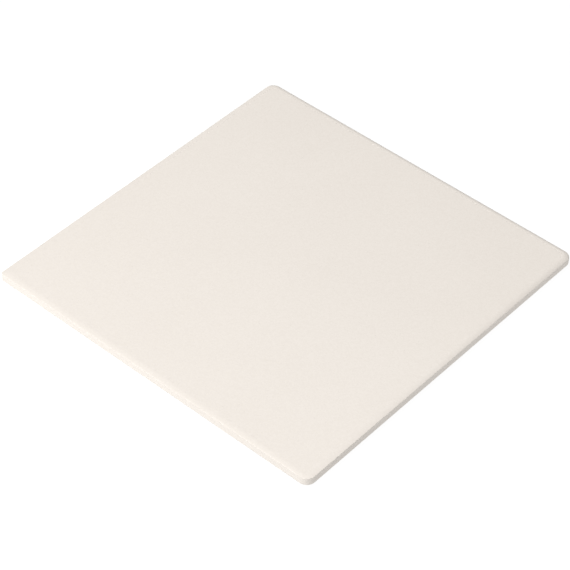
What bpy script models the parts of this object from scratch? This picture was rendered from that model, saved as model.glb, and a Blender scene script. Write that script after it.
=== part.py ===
"""A square stone slab with eased edges, held off the bench by four stick-on rubber feet.

The stone is one cut and honed plate. Under each of its corners a low rubber foot is
held by a disc of double-sided foam tape. The origin is on the bench, under the slab's
centre; +X is to the right, +Y to the back and +Z up.
"""

import math

import bmesh
import bpy

# The stone plate, in metres.
SLAB_SIDE = 0.305
SLAB_THICKNESS = 0.0076
CORNER_RADIUS = 0.0075
CORNER_STEPS = 10
# The upper edge: the face dips over the ease, then turns down through the arris.
EASE_WIDTH = 0.0042
EASE_DROP = 0.0007
EASE_STEPS = 8
ARRIS_RADIUS = 0.0006
ARRIS_STEPS = 6
# The lower edge is only broken with a rubbing stone.
LOWER_ARRIS_RADIUS = 0.0008
LOWER_ARRIS_STEPS = 4

# The feet: a low cone of rubber, wide end up.
FOOT_TOP_RADIUS = 0.0064
FOOT_BASE_RADIUS = 0.0055
FOOT_HEIGHT = 0.0022
FOOT_RIM_RADIUS = 0.0005
FOOT_RIM_STEPS = 3
FOOT_SIDES = 40
FOOT_INSET = 0.022  # from the slab's sides to a foot's middle

# The tape discs between the feet and the stone.
TAPE_THICKNESS = 0.0006
TAPE_SETBACK = 0.0003  # how far the tape stops short of the foot's upper rim
GAP = 0.0003  # left between pieces that touch

TAPE_BOTTOM = FOOT_HEIGHT + GAP
SLAB_BOTTOM = TAPE_BOTTOM + TAPE_THICKNESS + GAP
SLAB_TOP = SLAB_BOTTOM + SLAB_THICKNESS


def clear_scene():
    for obj in list(bpy.data.objects):
        bpy.data.objects.remove(obj, do_unlink=True)


def material(name, colour, roughness):
    made = bpy.data.materials.new(name)
    made.use_nodes = True
    shader = made.node_tree.nodes["Principled BSDF"]
    shader.inputs["Base Color"].default_value = (*colour, 1.0)
    shader.inputs["Roughness"].default_value = roughness
    shader.inputs["Metallic"].default_value = 0.0
    made.diffuse_color = (*colour, 1.0)
    return made


def place(name, mesh, finish, location=(0.0, 0.0, 0.0)):
    """Adds an object for the mesh, smooth on its round parts and crisp at its edges."""
    if not mesh.materials:
        mesh.materials.append(finish)
        mesh.shade_smooth()
        mesh.set_sharp_from_angle(angle=math.radians(35))
    obj = bpy.data.objects.new(name, mesh)
    obj.location = location
    bpy.context.scene.collection.objects.link(obj)
    return obj


def edge_profile():
    """The slab's edge as (inset from the side, height over the underside), going up."""
    points = []
    for step in range(LOWER_ARRIS_STEPS + 1):
        turn = math.radians(90) * step / LOWER_ARRIS_STEPS
        points.append((
            LOWER_ARRIS_RADIUS * (1 - math.sin(turn)),
            LOWER_ARRIS_RADIUS * (1 - math.cos(turn)),
        ))
    # The arris ends at the slope at which the eased face, a parabola, meets it.
    slope = math.atan(2 * EASE_DROP / EASE_WIDTH)
    arris_centre = SLAB_THICKNESS - EASE_DROP - ARRIS_RADIUS * math.cos(slope)
    for step in range(ARRIS_STEPS + 1):
        turn = (math.radians(90) - slope) * step / ARRIS_STEPS
        points.append((
            ARRIS_RADIUS * (1 - math.cos(turn)),
            arris_centre + ARRIS_RADIUS * math.sin(turn),
        ))
    ease_start = points[-1][0]
    for step in range(1, EASE_STEPS + 1):
        along = step / EASE_STEPS
        points.append((
            ease_start + EASE_WIDTH * along,
            SLAB_THICKNESS - EASE_DROP * (1 - along) ** 2,
        ))
    return points


def rounded_square(inset, height):
    """Points round the slab's outline, counter-clockwise, set in from its sides."""
    radius = CORNER_RADIUS - inset
    centre = SLAB_SIDE / 2 - CORNER_RADIUS
    points = []
    for quarter in range(4):
        start = math.radians(90) * quarter
        middle = start + math.radians(45)
        corner_x = math.copysign(centre, math.cos(middle))
        corner_y = math.copysign(centre, math.sin(middle))
        for step in range(CORNER_STEPS + 1):
            turn = start + math.radians(90) * step / CORNER_STEPS
            points.append((
                corner_x + radius * math.cos(turn),
                corner_y + radius * math.sin(turn),
                height,
            ))
    return points


def slab_mesh():
    """Rings of the outline stacked along the edge's profile, closed by two flat faces."""
    shape = bmesh.new()
    rings = [
        [shape.verts.new(point) for point in rounded_square(inset, height)]
        for inset, height in edge_profile()
    ]
    for lower, upper in zip(rings, rings[1:]):
        for near in range(len(lower)):
            far = (near + 1) % len(lower)
            shape.faces.new((lower[near], lower[far], upper[far], upper[near]))
    shape.faces.new(list(reversed(rings[0])))
    shape.faces.new(rings[-1])
    mesh = bpy.data.meshes.new("stone_slab")
    shape.to_mesh(mesh)
    shape.free()
    return mesh


def foot_mesh():
    """A low cone standing on its origin, with its lower rim rounded."""
    shape = bmesh.new()
    made = bmesh.ops.create_cone(
        shape,
        cap_ends=True,
        segments=FOOT_SIDES,
        radius1=FOOT_BASE_RADIUS,
        radius2=FOOT_TOP_RADIUS,
        depth=FOOT_HEIGHT,
    )
    bmesh.ops.translate(shape, verts=made["verts"], vec=(0, 0, FOOT_HEIGHT / 2))
    middle = FOOT_HEIGHT / 2
    lower_rim = [
        edge for edge in shape.edges if all(vert.co.z < middle for vert in edge.verts)
    ]
    bmesh.ops.bevel(
        shape,
        geom=lower_rim,
        affect="EDGES",
        offset=FOOT_RIM_RADIUS,
        segments=FOOT_RIM_STEPS,
        profile=0.5,
    )
    mesh = bpy.data.meshes.new("rubber_foot")
    shape.to_mesh(mesh)
    shape.free()
    return mesh


def tape_mesh():
    """A flat disc lying on its origin."""
    radius = FOOT_TOP_RADIUS - TAPE_SETBACK
    shape = bmesh.new()
    made = bmesh.ops.create_cone(
        shape,
        cap_ends=True,
        segments=FOOT_SIDES,
        radius1=radius,
        radius2=radius,
        depth=TAPE_THICKNESS,
    )
    bmesh.ops.translate(shape, verts=made["verts"], vec=(0, 0, TAPE_THICKNESS / 2))
    mesh = bpy.data.meshes.new("foam_tape")
    shape.to_mesh(mesh)
    shape.free()
    return mesh


def corner_places():
    """The middle of each foot, by the name of the slab's corner that it is under."""
    reach = SLAB_SIDE / 2 - FOOT_INSET
    return {
        "front_left": (-reach, -reach),
        "front_right": (reach, -reach),
        "back_left": (-reach, reach),
        "back_right": (reach, reach),
    }


def build():
    clear_scene()
    stone = material("honed stone", (0.84, 0.78, 0.71), 0.55)
    rubber = material("black rubber", (0.028, 0.028, 0.03), 0.7)
    foam = material("white foam tape", (0.78, 0.78, 0.76), 0.6)

    place("stone_slab", slab_mesh(), stone, (0.0, 0.0, SLAB_BOTTOM))
    foot = foot_mesh()
    tape = tape_mesh()
    for corner, (x, y) in corner_places().items():
        place("foot_" + corner, foot, rubber, (x, y, 0.0))
        place("foot_tape_" + corner, tape, foam, (x, y, TAPE_BOTTOM))


build()
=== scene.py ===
"""A thin square slab of honed stone on four stick-on rubber feet, on a white bench."""

import math

import bpy
from mathutils import Matrix, Vector


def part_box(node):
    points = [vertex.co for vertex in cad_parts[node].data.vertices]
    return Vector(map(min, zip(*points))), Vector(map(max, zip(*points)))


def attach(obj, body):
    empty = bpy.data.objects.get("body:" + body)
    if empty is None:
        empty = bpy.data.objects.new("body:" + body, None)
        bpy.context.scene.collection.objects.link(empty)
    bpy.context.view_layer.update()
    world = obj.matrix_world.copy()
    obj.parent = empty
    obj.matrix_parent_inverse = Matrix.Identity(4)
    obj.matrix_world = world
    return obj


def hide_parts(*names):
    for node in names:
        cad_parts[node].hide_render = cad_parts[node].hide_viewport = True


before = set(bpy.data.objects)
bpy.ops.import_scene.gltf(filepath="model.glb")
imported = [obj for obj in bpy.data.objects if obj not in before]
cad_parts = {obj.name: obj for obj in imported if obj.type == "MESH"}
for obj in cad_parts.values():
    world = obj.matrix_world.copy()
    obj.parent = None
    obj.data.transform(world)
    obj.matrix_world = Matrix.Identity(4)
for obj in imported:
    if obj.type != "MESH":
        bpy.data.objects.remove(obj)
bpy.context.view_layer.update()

# ---------------------------------------------------------------------------------------
# The stone plate. One piece of pale, fine-grained stone, sawn to thickness, honed on its
# face and ground on its sides. The face eases down to an upper arris that is rubbed by
# hand, crisp at the front and rounder at the back; the lower arris is only broken.
# ---------------------------------------------------------------------------------------


class Field:
    """One output of a node. Arithmetic on it adds Math nodes to the same tree."""

    def __init__(self, wiring, socket):
        self.wiring = wiring
        self.socket = socket

    def maths(self, operation, *others):
        values = dict(enumerate((self, *others)))
        return self.wiring.add("ShaderNodeMath", {"operation": operation}, values)

    def output(self, name):
        """Another output of the same node."""
        return Field(self.wiring, self.socket.node.outputs[name])

    def part(self, axis):
        """One coordinate of a vector."""
        return self.wiring.add("ShaderNodeSeparateXYZ", values={0: self}, output=axis)

    def clamped(self):
        return self.wiring.add("ShaderNodeClamp", values={"Value": self})

    def ramp(self, low, high):
        """0 up to low and 1 from high on, and smooth in between."""
        values = {"Value": self, "From Min": low, "From Max": high}
        settings = {"interpolation_type": "SMOOTHSTEP"}
        return self.wiring.add("ShaderNodeMapRange", settings, values)

    def stage(self, start, count):
        """How far a running step has come through one stretch of a section, 0 to 1."""
        return ((self - start) / count).clamped()

    def __add__(self, other):
        return self.maths("ADD", other)

    __radd__ = __add__

    def __sub__(self, other):
        return self.maths("SUBTRACT", other)

    def __rsub__(self, other):
        return self * -1 + other

    def __mul__(self, other):
        return self.maths("MULTIPLY", other)

    def __truediv__(self, other):
        return self.maths("DIVIDE", other)

    def __pow__(self, other):
        return self.maths("POWER", other)


class Wiring:
    """A node tree being written. Every node that it gains is made by add()."""

    def __init__(self, tree):
        self.tree = tree

    def add(self, kind, settings=None, values=None, output=0):
        """Makes a node, sets its settings, fills or links its sockets, gives one output.

        A list of fields is linked to one socket, in its order.
        """
        made = self.tree.nodes.new(kind)
        for name, value in (settings or {}).items():
            setattr(made, name, value)
        for name, value in (values or {}).items():
            if not isinstance(value, (Field, list)):
                made.inputs[name].default_value = value
                continue
            for field in value if isinstance(value, list) else [value]:
                self.tree.links.new(field.socket, made.inputs[name])
        if not made.outputs:
            return None
        return Field(self, made.outputs[output])


def shape_tree(name, sizes):
    """An empty Geometry Nodes tree with a named input for each size, and those inputs."""
    tree = bpy.data.node_groups.new(name, "GeometryNodeTree")
    tree.interface.new_socket("Shape", in_out="OUTPUT", socket_type="NodeSocketGeometry")
    for label in sizes:
        tree.interface.new_socket(label, in_out="INPUT", socket_type="NodeSocketFloat")
    wiring = Wiring(tree)
    given = wiring.add("NodeGroupInput")
    return wiring, {label: given.output(label) for label in sizes}


CREASE = math.radians(38)  # a sharper bend than this between two faces is a crisp edge
MERGE = 1e-6  # points nearer than this, where two parts of a mesh meet, become one


def close_tree(wiring, shape, finish):
    """Ends a shape tree: one mesh of real geometry in its own material, smooth but for
    its creases."""
    smooth = wiring.add("GeometryNodeSetShadeSmooth", values={"Geometry": shape})
    bend = wiring.add("GeometryNodeInputMeshEdgeAngle", output="Unsigned Angle")
    creased = wiring.add(
        "GeometryNodeSetShadeSmooth",
        {"domain": "EDGE"},
        {"Geometry": smooth, 1: bend.maths("GREATER_THAN", CREASE), 2: False},
    )
    real = wiring.add("GeometryNodeRealizeInstances", values={"Geometry": creased})
    done = wiring.add(
        "GeometryNodeSetMaterial", values={"Geometry": real, "Material": finish}
    )
    wiring.add("NodeGroupOutput", values={"Shape": done})


def grown(name, tree, sizes):
    """An object with the mesh that a shape tree makes at these sizes, and no modifier."""
    piece = bpy.data.objects.new(name, bpy.data.meshes.new(name + "_start"))
    bpy.context.scene.collection.objects.link(piece)
    modifier = piece.modifiers.new("shape", "NODES")
    modifier.node_group = tree
    for socket in tree.interface.items_tree:
        if socket.in_out == "INPUT":
            modifier[socket.identifier] = sizes[socket.name]
    graph = bpy.context.evaluated_depsgraph_get()
    mesh = bpy.data.meshes.new_from_object(piece.evaluated_get(graph))
    piece.modifiers.remove(modifier)
    mesh.name = name
    piece.data = mesh
    return piece


def noted(wiring, shape, label, value, kind="FLOAT"):
    """The shape with a value stored on its points, for note() or a material to read."""
    return wiring.add(
        "GeometryNodeStoreNamedAttribute",
        {"data_type": kind, "domain": "POINT"},
        {"Geometry": shape, "Name": label, "Value": value},
    )


def note(wiring, label, kind="FLOAT"):
    return wiring.add(
        "GeometryNodeInputNamedAttribute", {"data_type": kind}, {"Name": label}
    )


def finish_of(name, **constants):
    """A new material, its wiring, its Principled shader and its Object coordinates."""
    material = bpy.data.materials.new(name)
    material.use_nodes = True
    wiring = Wiring(material.node_tree)
    shader = material.node_tree.nodes["Principled BSDF"]
    for label, value in constants.items():
        shader.inputs[label.replace("_", " ")].default_value = value
    place = wiring.add("ShaderNodeTexCoord", output="Object")
    return material, wiring, shader, place


def noise(wiring, place, scale, detail=2.0, roughness=0.5):
    values = {"Vector": place, "Scale": scale, "Detail": detail, "Roughness": roughness}
    return wiring.add("ShaderNodeTexNoise", values=values, output="Fac")


def blend(wiring, amount, low, high):
    """A colour between two others."""
    values = {"Factor": amount, 6: low, 7: high}
    return wiring.add("ShaderNodeMix", {"data_type": "RGBA"}, values, output=2)


def connect(wiring, field, shader, label):
    wiring.tree.links.new(field.socket, shader.inputs[label])


# The scale of each mark of the stone: about how many of them there are in a metre.
CRYSTALS = 1100.0
POWDER = 4200.0
CLOUDS = 11.0
SPECKS = 420.0
PORES = 2600.0
GRINDING = (18.0, 18.0, 3200.0)  # the lines are long along the sides and fine up them
SAW_CENTRE = (0.10, -0.62, 0.0)  # what the saw's arcs on the underside go round
SAW_ARCS = 2600.0  # in radians to the metre
SAW_CHATTER = 5.0  # how far the arcs waver, in radians
STONE_DARKER = (0.755, 0.698, 0.638, 1)
STONE_PALER = (0.845, 0.793, 0.735, 1)
SPECK_GREY = (0.42, 0.39, 0.36, 1)
SAW_DUST = (0.70, 0.67, 0.63, 1)


def honed_stone():
    """Warm off-white stone with a grain so fine and faint that it only shows close to."""
    material, wiring, shader, place = finish_of("honed_stone", IOR=1.5)
    worn = wiring.add(
        "ShaderNodeAttribute", {"attribute_name": "worn"}, output="Fac"
    )
    ground = wiring.add(
        "ShaderNodeAttribute", {"attribute_name": "ground"}, output="Fac"
    )
    sawn = wiring.add(
        "ShaderNodeAttribute", {"attribute_name": "sawn"}, output="Fac"
    )

    # Crystals about a millimetre across, each a shade apart, in a finer ground mass.
    crystals = wiring.add(
        "ShaderNodeTexVoronoi", values={"Vector": place, "Scale": CRYSTALS}, output="Color"
    )
    shade = crystals.part("X")
    powder = noise(wiring, place, POWDER, 3.0, 0.6)
    cloud = noise(wiring, place, CLOUDS, 3.0, 0.55)
    paler = shade * 0.35 + powder * 0.35 + cloud * 0.3
    body = blend(wiring, paler, STONE_DARKER, STONE_PALER)

    # Sparse specks of a grey mineral, a third of a millimetre across.
    specks = wiring.add(
        "ShaderNodeTexVoronoi", values={"Vector": place, "Scale": SPECKS}, output="Distance"
    )
    lot = wiring.add(
        "ShaderNodeTexVoronoi", values={"Vector": place, "Scale": SPECKS}, output="Color"
    )
    speck = (1 - specks.ramp(0.07, 0.15)) * lot.part("Y").ramp(0.55, 0.75)
    flecked = blend(wiring, speck * 0.24, body, SPECK_GREY)
    dusty = blend(wiring, sawn * 0.35, flecked, SAW_DUST)
    connect(wiring, dusty, shader, "Base Color")

    gloss = 0.52 + shade * 0.07 + (powder - 0.5) * 0.10 - worn * 0.07
    connect(wiring, gloss + ground * 0.10 + sawn * 0.22, shader, "Roughness")

    # Pores of the honed face, the grinder's lines along the sides, and the saw's arcs
    # on the underside.
    along = wiring.add(
        "ShaderNodeVectorMath",
        {"operation": "MULTIPLY"},
        {0: place, 1: GRINDING},
    )
    lines = noise(wiring, along, 1.0, 3.0, 0.6)
    blade = wiring.add(
        "ShaderNodeVectorMath",
        {"operation": "DISTANCE"},
        {0: place, 1: SAW_CENTRE},
        output="Value",
    )
    chatter = noise(wiring, place, 25.0, 2.0)
    arcs = (blade * SAW_ARCS + chatter * SAW_CHATTER).maths("SINE") * 0.5 + 0.5
    pores = noise(wiring, place, PORES, 4.0, 0.65)
    relief = pores + ground * lines * 1.6 + sawn * (arcs * 1.5 + powder * 2.0)
    bump = wiring.add(
        "ShaderNodeBump", values={"Strength": 0.35, "Distance": 0.00003, "Height": relief}
    )
    connect(wiring, bump, shader, "Normal")
    return material


# Facets of the plate's outline, for each side and each corner, and of its edge's section.
SIDE_FACETS = 24
CORNER_FACETS = 24
LOWER_STEPS = 6
WALL_STEPS = 3
ARRIS_STEPS = 10
EASE_STEPS = 16
WALL_START = 1 + LOWER_STEPS
ARRIS_START = WALL_START + WALL_STEPS
EASE_START = ARRIS_START + ARRIS_STEPS
FLAT_START = EASE_START + EASE_STEPS
WALL_MARGIN = 0.04  # the share of the wall's height between its end and its next ring
WAVES = 9.0  # the scale of the edge's unevenness
QUARTER_TURN = math.radians(90)


def plate_tree(finish):
    """The rounded square, and the section of its edge carried round it as a band.

    A band runs from the underside, round the lower arris, up the wall, over the arris and
    along the ease to the flat of the face. Two flat sheets close it.
    """
    wiring, size = shape_tree(
        "stone_plate",
        (
            "Side", "Thickness", "Base Height", "Front Right Corner", "Back Right Corner",
            "Back Left Corner", "Front Left Corner", "Lower Arris", "Front Arris",
            "Back Arris", "Front Ease Width", "Back Ease Width", "Front Ease Drop",
            "Back Ease Drop", "Flat Margin", "Unevenness",
        ),
    )

    # The outline, anticlockwise from the front of the right side: a straight side and
    # then a corner for each quarter turn.
    quarter_facets = SIDE_FACETS + CORNER_FACETS
    index = wiring.add("GeometryNodeInputIndex")
    quarter = (index / quarter_facets).maths("FLOOR")
    facet = index - quarter * quarter_facets
    ring = wiring.add(
        "GeometryNodeCurvePrimitiveCircle", values={"Resolution": 4 * quarter_facets}
    )
    outline = noted(wiring, ring, "quarter", quarter)
    outline = noted(wiring, outline, "run", (facet / SIDE_FACETS).clamped())
    bend = ((facet - SIDE_FACETS) / CORNER_FACETS).clamped()
    outline = noted(wiring, outline, "bend", bend)

    def corner_radius(labels):
        """The radius of the first, second, third or fourth corner, by the quarter."""
        quarter = note(wiring, "quarter")
        radius = size[labels[0]]
        for number in (1, 2, 3):
            step_up = (quarter - (number - 1)).clamped()
            radius = radius + (size[labels[number]] - size[labels[number - 1]]) * step_up
        return radius

    corners = (
        "Back Right Corner", "Back Left Corner", "Front Left Corner", "Front Right Corner"
    )
    radius_ahead = corner_radius(corners)
    radius_behind = corner_radius(corners[-1:] + corners[:-1])

    def inside(inset, height):
        """The outline's points, this far in from the side. Its corners tighten inwards."""
        ahead = radius_ahead * (inset / radius_ahead * -1).maths("EXPONENT")
        behind = radius_behind * (inset / radius_behind * -1).maths("EXPONENT")
        half = size["Side"] / 2 - inset
        turn = note(wiring, "bend") * QUARTER_TURN
        run = note(wiring, "run")
        start = behind - half
        along = start + (half - ahead - start) * run
        flat = wiring.add(
            "ShaderNodeCombineXYZ",
            values={
                "X": half - ahead * (1 - turn.maths("COSINE")),
                "Y": along + ahead * turn.maths("SINE"),
                "Z": height,
            },
        )
        return wiring.add(
            "ShaderNodeVectorRotate",
            {"rotation_type": "Z_AXIS"},
            {"Vector": flat, "Angle": note(wiring, "quarter") * QUARTER_TURN},
        )

    def band_point(step):
        """Where a step of the section lies, at the outline's point that carries it."""
        at = inside(size["Side"] * 0, size["Base Height"])

        def uneven(shift):
            """A factor about 1. Its noise is read this far aside, one place for each size."""
            moved = wiring.add(
                "ShaderNodeVectorMath", {"operation": "ADD"}, {0: at, 1: (shift, 0, 0)}
            )
            return 1 + (noise(wiring, moved, WAVES) - 0.5) * size["Unevenness"] * 2

        backward = at.part("Y") / size["Side"] + 0.5

        def rubbed(label, shift):
            """A size that runs from the front's to the back's, a little uneven."""
            front, back = size["Front " + label], size["Back " + label]
            return (front + (back - front) * backward) * uneven(shift)

        arris = rubbed("Arris", 3.0)
        ease_width = rubbed("Ease Width", 5.0)
        ease_drop = rubbed("Ease Drop", 7.0)
        slope = (ease_drop * 2 / ease_width).maths("ARCTANGENT")

        margin = 1 - step.stage(0, 1)
        lower = step.stage(1, LOWER_STEPS) * QUARTER_TURN
        wall = step.stage(WALL_START, 1) * WALL_MARGIN
        wall = wall + step.stage(WALL_START + 1, 1) * (1 - 2 * WALL_MARGIN)
        wall = wall + step.stage(WALL_START + 2, 1) * WALL_MARGIN
        over = step.stage(ARRIS_START, ARRIS_STEPS) * (QUARTER_TURN - slope)
        ease = step.stage(EASE_START, EASE_STEPS)
        flat = step.stage(FLAT_START, 1)

        wall_height = size["Thickness"] - size["Lower Arris"] - ease_drop
        wall_height = wall_height - arris * slope.maths("COSINE")
        inset = size["Lower Arris"] * (1 - lower.maths("SINE"))
        inset = inset + arris * (1 - over.maths("COSINE")) + ease_width * ease
        inset = inset + size["Flat Margin"] * (margin + flat)
        rise = size["Lower Arris"] * (1 - lower.maths("COSINE")) + wall_height * wall
        rise = rise + arris * over.maths("SINE") + ease_drop * (1 - (1 - ease) ** 2)
        return inside(inset, rise + size["Base Height"])

    steps = FLAT_START + 1
    section = wiring.add(
        "GeometryNodeMeshLine", values={"Count": steps + 1, "Offset": (0, 0, 0.001)}
    )
    section = wiring.add("GeometryNodeMeshToCurve", values={"Mesh": section})
    section = noted(wiring, section, "step", wiring.add("GeometryNodeInputIndex"))
    band = wiring.add(
        "GeometryNodeCurveToMesh", values={"Curve": outline, "Profile Curve": section}
    )
    step = note(wiring, "step")
    worn = step.stage(ARRIS_START - 1, 3) * (1 - step.stage(EASE_START, EASE_STEPS))
    ground = step.stage(1, LOWER_STEPS) * (1 - step.stage(ARRIS_START, ARRIS_STEPS))
    sawn = 1 - step.stage(1, LOWER_STEPS)
    band = noted(wiring, band, "worn", worn)
    band = noted(wiring, band, "ground", ground)
    band = noted(wiring, band, "sawn", sawn)
    band = wiring.add(
        "GeometryNodeSetPosition", values={"Geometry": band, "Position": band_point(step)}
    )
    band = wiring.add("GeometryNodeFlipFaces", values={"Mesh": band})

    def sheet(at_step, height, sawn_here):
        """A flat sheet inside the band's first or last step. Filling lays it at zero."""
        edge = wiring.add(
            "GeometryNodeSetPosition",
            values={"Geometry": outline, "Position": band_point(at_step)},
        )
        filled = wiring.add("GeometryNodeFillCurve", values={"Curve": edge})
        lift = wiring.add("ShaderNodeCombineXYZ", values={"Z": height})
        laid = wiring.add(
            "GeometryNodeSetPosition", values={"Geometry": filled, "Offset": lift}
        )
        return noted(wiring, laid, "sawn", sawn_here)

    def whole_number(value):
        constant = wiring.add("ShaderNodeValue")
        constant.socket.default_value = value
        return constant

    face = sheet(whole_number(steps), size["Base Height"] + size["Thickness"], 0.0)
    underside = wiring.add(
        "GeometryNodeFlipFaces",
        values={"Mesh": sheet(whole_number(0), size["Base Height"], 1.0)},
    )
    joined = wiring.add(
        "GeometryNodeJoinGeometry", values={"Geometry": [band, face, underside]}
    )
    whole = wiring.add(
        "GeometryNodeMergeByDistance", values={"Geometry": joined, "Distance": MERGE}
    )
    close_tree(wiring, whole, finish)
    return wiring.tree


plate_low, plate_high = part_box("stone_slab")
PLATE = {
    "Side": plate_high.x - plate_low.x,
    "Thickness": plate_high.z - plate_low.z,
    "Base Height": plate_low.z,
    "Front Right Corner": 0.0075,
    "Back Right Corner": 0.0075,
    "Back Left Corner": 0.0075,
    "Front Left Corner": 0.0025,  # this one was left tighter
    "Lower Arris": 0.0008,
    "Front Arris": 0.0002,
    "Back Arris": 0.0016,
    "Front Ease Width": 0.0047,
    "Back Ease Width": 0.0037,
    "Front Ease Drop": 0.0005,
    "Back Ease Drop": 0.00135,
    "Flat Margin": 0.001,
    "Unevenness": 0.12,
}
plate = grown("stone_plate", plate_tree(honed_stone()), PLATE)
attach(plate, "root")
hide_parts("stone_slab")

# ---------------------------------------------------------------------------------------
# The foam tape. Under each corner of the plate a disc of white closed-cell foam, 1.2 mm
# thick with a film of glue on each face, holds a foot. It is cut together with the foot,
# and its edge bulges a little between the films where the stone's weight presses it.
# ---------------------------------------------------------------------------------------

CORNERS = ("front_left", "front_right", "back_left", "back_right")
TURN_FACETS = 72


def turned(wiring, size, steps, section):
    """A solid of revolution about its own upright axis at X, Y.

    section(step) gives its radius and height at each step, from the middle of its base,
    up its outside, to the middle of its top.
    """
    grid = wiring.add(
        "GeometryNodeMeshGrid", values={"Vertices X": TURN_FACETS + 1, "Vertices Y": steps + 1}
    )
    index = wiring.add("GeometryNodeInputIndex")
    spoke = (index / (steps + 1)).maths("FLOOR")
    step = index - spoke * (steps + 1)
    angle = spoke * (math.tau / TURN_FACETS)
    radius, height = section(step)
    grid = noted(wiring, grid, "step", step)
    grid = noted(wiring, grid, "radius", radius)
    place = wiring.add(
        "ShaderNodeCombineXYZ",
        values={
            "X": size["X"] + radius * angle.maths("COSINE"),
            "Y": size["Y"] + radius * angle.maths("SINE"),
            "Z": height,
        },
    )
    moved = wiring.add(
        "GeometryNodeSetPosition", values={"Geometry": grid, "Position": place}
    )
    return wiring.add(
        "GeometryNodeMergeByDistance", values={"Geometry": moved, "Distance": MERGE}
    )


def white_foam():
    """Closed-cell foam, its cut cells a fifth of a millimetre across, under its films, with
    painted shade: the cells' hollows are coloured darker.
    """
    material, wiring, shader, place = finish_of("white_foam", IOR=1.45)
    film = wiring.add(
        "ShaderNodeAttribute", {"attribute_name": "film"}, output="Fac"
    )
    cells = wiring.add(
        "ShaderNodeTexVoronoi", values={"Vector": place, "Scale": 5200.0}, output="Distance"
    )
    hollow = 1 - cells.ramp(0.05, 0.55)
    mottle = noise(wiring, place, 900.0, 3.0, 0.6)
    # painted shade: the hollows of the cut cells are coloured darker, mixed with a random
    # mottle of tone
    shade = hollow * 0.5 + mottle * 0.5
    foam = blend(wiring, shade, (0.80, 0.80, 0.78, 1), (0.66, 0.66, 0.64, 1))
    connect(wiring, blend(wiring, film, foam, (0.70, 0.68, 0.60, 1)), shader, "Base Color")
    connect(wiring, 0.72 + mottle * 0.1 - film * 0.38, shader, "Roughness")
    relief = (1 - hollow) * (1 - film) + mottle * 0.3
    bump = wiring.add(
        "ShaderNodeBump", values={"Strength": 0.6, "Distance": 0.00004, "Height": relief}
    )
    connect(wiring, bump, shader, "Normal")
    return material


FOAM_STEPS = 8


def tape_tree(finish):
    """A film, the foam's bulging edge, and the other film."""
    wiring, size = shape_tree(
        "tape_disc", ("X", "Y", "Base Height", "Height", "Radius", "Film", "Recess", "Bulge")
    )

    def section(step):
        foam_start = 3
        film_top = foam_start + FOAM_STEPS
        foam = step.stage(foam_start, FOAM_STEPS)
        recess = step.stage(2, 1) - step.stage(film_top, 1)
        bulge = (foam * math.pi).maths("SINE") * size["Bulge"]
        radius = size["Radius"] - size["Recess"] * recess + bulge
        radius = radius * step.stage(0, 1) * (1 - step.stage(film_top + 2, 1))
        films = (step.stage(1, 1) + step.stage(film_top + 1, 1)) * size["Film"]
        height = films + foam * (size["Height"] - size["Film"] * 2)
        return radius, size["Base Height"] + height

    steps = 3 + FOAM_STEPS + 3
    disc = turned(wiring, size, steps, section)
    step = note(wiring, "step")
    film = 1 - step.stage(2, 0.5) * (1 - step.stage(steps - 3, 0.5))
    close_tree(wiring, noted(wiring, disc, "film", film), finish)
    return wiring.tree


def middle_of(node):
    low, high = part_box(node)
    return (low + high) / 2


SEAT = 0.00001  # between a piece and the one that it is stuck to, so no faces coincide

tape_shape = tape_tree(white_foam())
for corner in CORNERS:
    tape_low, tape_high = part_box("foot_tape_" + corner)
    foot_low, foot_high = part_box("foot_" + corner)
    tape = grown(
        "foam_tape_" + corner,
        tape_shape,
        {
            "X": middle_of("foot_tape_" + corner).x,
            "Y": middle_of("foot_tape_" + corner).y,
            "Base Height": foot_high.z + SEAT,
            "Height": plate_low.z - foot_high.z - 2 * SEAT,
            "Radius": (tape_high.x - tape_low.x) / 2,
            "Film": 0.00009,
            "Recess": 0.00008,
            "Bulge": 0.00012,
        },
    )
    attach(tape, "root")
    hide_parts("foot_tape_" + corner)

# ---------------------------------------------------------------------------------------
# The feet. Each is a low cone of black rubber, moulded in one piece with its wide end up,
# a rounded lower rim and a shallow dish in its base, and stuck to the stone by its tape.
# ---------------------------------------------------------------------------------------


def black_rubber():
    """Matt moulded rubber, scuffed grey where it stands, with the mould's turned rings."""
    material, wiring, shader, place = finish_of("black_rubber", IOR=1.5)
    scuffed = wiring.add(
        "ShaderNodeAttribute", {"attribute_name": "scuffed"}, output="Fac"
    )
    radius = wiring.add(
        "ShaderNodeAttribute", {"attribute_name": "radius"}, output="Fac"
    )
    grain = noise(wiring, place, 5200.0, 3.0, 0.65)
    bloom = noise(wiring, place, 420.0, 3.0, 0.6)
    rubbed = scuffed * bloom.ramp(0.35, 0.65)
    body = blend(wiring, bloom, (0.022, 0.022, 0.024, 1), (0.036, 0.036, 0.038, 1))
    connect(wiring, blend(wiring, rubbed, body, (0.10, 0.10, 0.10, 1)), shader, "Base Color")
    connect(wiring, 0.62 + grain * 0.12 + rubbed * 0.15, shader, "Roughness")
    rings = (radius * 14000.0).maths("SINE") * (1 - scuffed)
    bump = wiring.add(
        "ShaderNodeBump",
        values={"Strength": 0.45, "Distance": 0.00003, "Height": grain + rings * 0.2},
    )
    connect(wiring, bump, shader, "Normal")
    return material


DISH_STEPS = 10
RIM_STEPS = 6
RIM_START = DISH_STEPS + 1
CONE_START = RIM_START + RIM_STEPS
CONE_STEPS = 3
TOP_RIM_START = CONE_START + CONE_STEPS
TOP_RIM_STEPS = 4
FOOT_STEPS = TOP_RIM_START + TOP_RIM_STEPS + 1


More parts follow.
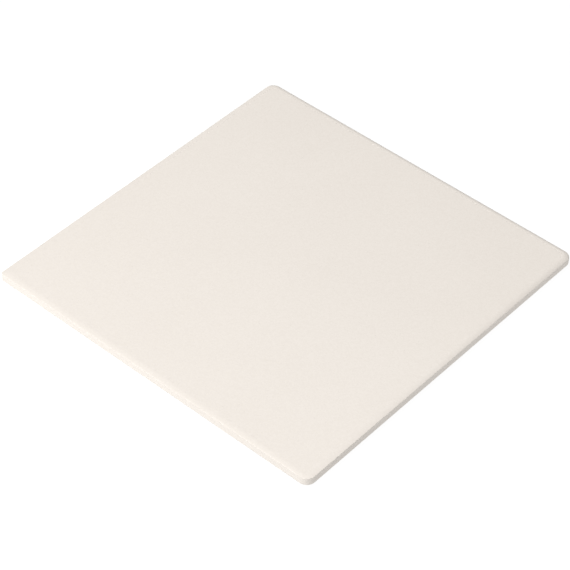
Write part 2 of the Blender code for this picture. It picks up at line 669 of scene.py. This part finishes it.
def foot_tree(finish):
    """The dish, the ring that it stands on, the rounded rim, the cone and its top."""
    wiring, size = shape_tree(
        "rubber_foot",
        (
            "X", "Y", "Base Height", "Height", "Base Radius", "Top Radius",
            "Rim Radius", "Top Rim Radius", "Dish Radius", "Dish Depth",
        ),
    )
    def section(step):
        dish = step.stage(0, DISH_STEPS) * QUARTER_TURN
        ring = step.stage(DISH_STEPS, 1)
        rim = step.stage(RIM_START, RIM_STEPS) * QUARTER_TURN
        cone = step.stage(CONE_START, CONE_STEPS)
        top_rim = step.stage(TOP_RIM_START, TOP_RIM_STEPS) * QUARTER_TURN
        top = step.stage(TOP_RIM_START + TOP_RIM_STEPS, 1)

        height = size["Rim Radius"] * (1 - rim.maths("COSINE"))
        height = height + (size["Height"] - size["Rim Radius"] - size["Top Rim Radius"]) * cone
        height = height + size["Top Rim Radius"] * top_rim.maths("SINE")
        flare = (size["Top Radius"] - size["Base Radius"]) * height / size["Height"]
        inset = size["Rim Radius"] * (1 - rim.maths("SINE"))
        inset = inset + size["Top Rim Radius"] * (1 - top_rim.maths("COSINE"))
        outside = (size["Base Radius"] + flare - inset) * (1 - top)
        inside = size["Dish Radius"] * dish.maths("SINE")
        radius = inside * (1 - ring) + outside * ring
        hollow = size["Dish Depth"] * dish.maths("COSINE")
        return radius, size["Base Height"] + hollow + height

    foot = turned(wiring, size, FOOT_STEPS, section)
    step = note(wiring, "step")
    scuffed = step.stage(DISH_STEPS - 1, 1) * (1 - step.stage(RIM_START, RIM_STEPS))
    close_tree(wiring, noted(wiring, foot, "scuffed", scuffed), finish)
    return wiring.tree


foot_shape = foot_tree(black_rubber())
for corner in CORNERS:
    foot_low, foot_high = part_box("foot_" + corner)
    foot = grown(
        "rubber_foot_" + corner,
        foot_shape,
        {
            "X": middle_of("foot_" + corner).x,
            "Y": middle_of("foot_" + corner).y,
            "Base Height": foot_low.z,
            "Height": foot_high.z - foot_low.z,
            "Base Radius": 0.0055,
            "Top Radius": (foot_high.x - foot_low.x) / 2,
            "Rim Radius": 0.0005,
            "Top Rim Radius": 0.0002,
            "Dish Radius": 0.0032,
            "Dish Depth": 0.0004,
        },
    )
    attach(foot, "root")
    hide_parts("foot_" + corner)

# ---------------------------------------------------------------------------------------
# The bench and the studio: a white bench that glows by its own emission, with a painted pool
# of light in that glow that makes it brighter at the front left; one large soft light from
# there;
# and a pale room. The camera looks down on the slab's near corner through a long lens.
# ---------------------------------------------------------------------------------------

BENCH_SIZE = 30.0
BENCH_DROP = 0.00002  # under the feet, so that their bases don't share its plane
PAINTED_POOL_MIDDLE = (-0.25, -0.35, 0)  # the middle of the painted pool of light in the bench's glow, before the front left corner

BENCH_GLOW = 1.13
# the glow colours of the painted pool of light on the bench: full at its middle, dimmer beyond
# it
PAINTED_POOL_GLOW = (1, 1, 1, 1)
OUTSIDE_POOL_GLOW = (0.82, 0.82, 0.82, 1)

bench_mesh = bpy.data.meshes.new("bench")
quadrants = ((-1, -1), (1, -1), (1, 1), (-1, 1))
reach = BENCH_SIZE / 2
bench_mesh.from_pydata(
    [(x * reach, y * reach, -BENCH_DROP) for x, y in quadrants], [], [(0, 1, 2, 3)]
)
bench = bpy.data.objects.new("bench", bench_mesh)
bpy.context.scene.collection.objects.link(bench)
bench_finish, bench_wiring, bench_shader, bench_place = finish_of(
    "white_bench",
    Base_Color=(0.08, 0.08, 0.08, 1),
    Roughness=0.9,
    Emission_Strength=BENCH_GLOW,
)
from_painted_pool = bench_wiring.add(
    "ShaderNodeVectorMath",
    {"operation": "DISTANCE"},
    {0: bench_place, 1: PAINTED_POOL_MIDDLE},
    output="Value",
)
# painted light: the bench's glow is a painted pool, full near the front left and dimmer away
# from it
painted_light_pool = blend(bench_wiring, from_painted_pool.ramp(0.15, 0.50), PAINTED_POOL_GLOW, OUTSIDE_POOL_GLOW)
connect(bench_wiring, painted_light_pool, bench_shader, "Emission Color")
bench_mesh.materials.append(bench_finish)


def softbox(name, azimuth, elevation, distance, size, power):
    """A square area light that faces the slab. Azimuth 0 is at -Y and 90 at +X."""
    light = bpy.data.lights.new(name, "AREA")
    light.shape = "SQUARE"
    light.size = size
    light.energy = power
    lamp = bpy.data.objects.new(name, light)
    around, up = math.radians(azimuth), math.radians(elevation)
    back = Vector((
        math.sin(around) * math.cos(up),
        -math.cos(around) * math.cos(up),
        math.sin(up),
    ))
    lamp.location = back * distance
    lamp.rotation_euler = back.to_track_quat("Z", "Y").to_euler()
    lamp.visible_camera = False
    bpy.context.scene.collection.objects.link(lamp)


softbox("key_softbox", azimuth=-11.0, elevation=58.0, distance=3.05, size=1.5, power=88.8)

ROOM_GLOW = 0.33
world = bpy.data.worlds.new("pale_room")
bpy.context.scene.world = world
world.use_nodes = True
world.node_tree.nodes["Background"].inputs["Color"].default_value = (1, 1, 1, 1)
world.node_tree.nodes["Background"].inputs["Strength"].default_value = ROOM_GLOW

VIEW_AZIMUTH = math.radians(40.9)
VIEW_ELEVATION = math.radians(44.38)
VIEW_ROLL = math.radians(0.98)
VIEW_DISTANCE = 1.7016
VIEW_RIGHT = -0.00272  # from the plate's middle to the point looked at, across the view
VIEW_UP = -0.01363
LENS = 142.9

back = Vector((
    math.sin(VIEW_AZIMUTH) * math.cos(VIEW_ELEVATION),
    -math.cos(VIEW_AZIMUTH) * math.cos(VIEW_ELEVATION),
    math.sin(VIEW_ELEVATION),
))
level = Vector((math.cos(VIEW_AZIMUTH), math.sin(VIEW_AZIMUTH), 0))
upright = back.cross(level)
right = level * math.cos(VIEW_ROLL) + upright * math.sin(VIEW_ROLL)
up = upright * math.cos(VIEW_ROLL) - level * math.sin(VIEW_ROLL)
middle = (plate_low + plate_high) / 2
camera_data = bpy.data.cameras.new("camera")
camera_data.sensor_width = 36.0
camera_data.lens = LENS
camera_data.clip_start = 0.05
camera_data.clip_end = 50.0
camera = bpy.data.objects.new("camera", camera_data)
bpy.context.scene.collection.objects.link(camera)
camera.matrix_world = (
    Matrix.Translation(middle + right * VIEW_RIGHT + up * VIEW_UP + back * VIEW_DISTANCE)
    @ Matrix((right, up, back)).transposed().to_4x4()
)
bpy.context.scene.camera = camera
bpy.context.scene.view_settings.view_transform = "Standard"
